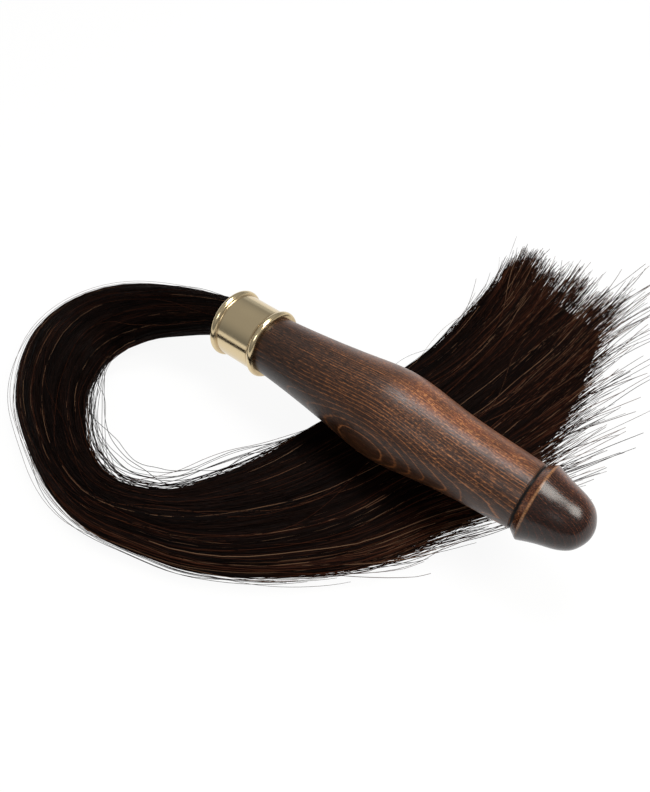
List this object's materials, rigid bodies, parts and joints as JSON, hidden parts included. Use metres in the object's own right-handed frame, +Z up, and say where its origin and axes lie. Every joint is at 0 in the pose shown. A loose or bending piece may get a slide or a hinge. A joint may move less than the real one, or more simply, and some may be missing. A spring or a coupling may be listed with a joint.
{
  "type": "horsehair neck duster",
  "caption": "Long-haired neck duster: turned wooden handle with domed pommel, brass ferrule, and a flexible tress of horsehair looped under the handle and ending in a fan.",
  "frame": {"origin": "on the table, directly below the thickest point of the handle, in the flat underside of the hair fan", "axes": "+Z up from the table; +X is the plan heading of the handle from its hair end to its pommel; +Y completes a right-handed frame"},
  "size_m": [0.2504, 0.2643, 0.0505],
  "materials": {
    "turned_wood": "satin dark walnut stain",
    "polished_brass": "polished, pale",
    "horsehair": "long straight hair, glossy",
    "waxed_thread": "waxed linen",
    "setting_pitch": "cast, dark"
  },
  "bodies": {
    "grip": {"handle": "turned_wood", "ferrule": "polished_brass", "hair_root": "horsehair", "root_whipping": "waxed_thread", "root_pitch": "setting_pitch", "tress_neck": "horsehair", "tress_bend_1": "horsehair"},
    "link_1": {"tress_link_1": "horsehair", "tress_bend_2": "horsehair"},
    "link_2": {"tress_link_2": "horsehair", "tress_bend_3": "horsehair"},
    "link_3": {"tress_link_3": "horsehair", "tress_bend_4": "horsehair"},
    "link_4": {"tress_link_4": "horsehair", "tress_bend_5": "horsehair"},
    "fan": {"tress_fan": "horsehair"}
  },
  "joints": [
    {"name": "tress_opens_1", "type": "hinge", "parent": "grip", "child": "link_1", "pos_m": [-0.1062, -0.00231, 0.008], "axis": [0, 0, -1], "range_deg": [0, 32], "deforming": ["tress_bend_1"]},
    {"name": "tress_opens_2", "type": "hinge", "parent": "link_1", "child": "link_2", "pos_m": [-0.14313, -0.02723, 0.008], "axis": [0, 0, -1], "range_deg": [0, 68], "deforming": ["tress_bend_2"]},
    {"name": "tress_opens_3", "type": "hinge", "parent": "link_2", "child": "link_3", "pos_m": [-0.13474, -0.06317, 0.008], "axis": [0, 0, -1], "range_deg": [0, 46], "deforming": ["tress_bend_3"]},
    {"name": "tress_opens_4", "type": "hinge", "parent": "link_3", "child": "link_4", "pos_m": [-0.07523, -0.09005, 0.008], "axis": [0, 0, -1], "range_deg": [0, 60], "deforming": ["tress_bend_4"]},
    {"name": "tress_opens_5", "type": "hinge", "parent": "link_4", "child": "fan", "pos_m": [-0.01602, -0.05229, 0.008], "axis": [0, 0, -1], "range_deg": [0, 34], "deforming": ["tress_bend_5"]}
  ],
  "couplings": [
    {"joint": "tress_opens_2", "follows": "tress_opens_1", "ratio": 2.125},
    {"joint": "tress_opens_3", "follows": "tress_opens_1", "ratio": 1.4375},
    {"joint": "tress_opens_4", "follows": "tress_opens_1", "ratio": 1.875},
    {"joint": "tress_opens_5", "follows": "tress_opens_1", "ratio": 1.0625}
  ]
}
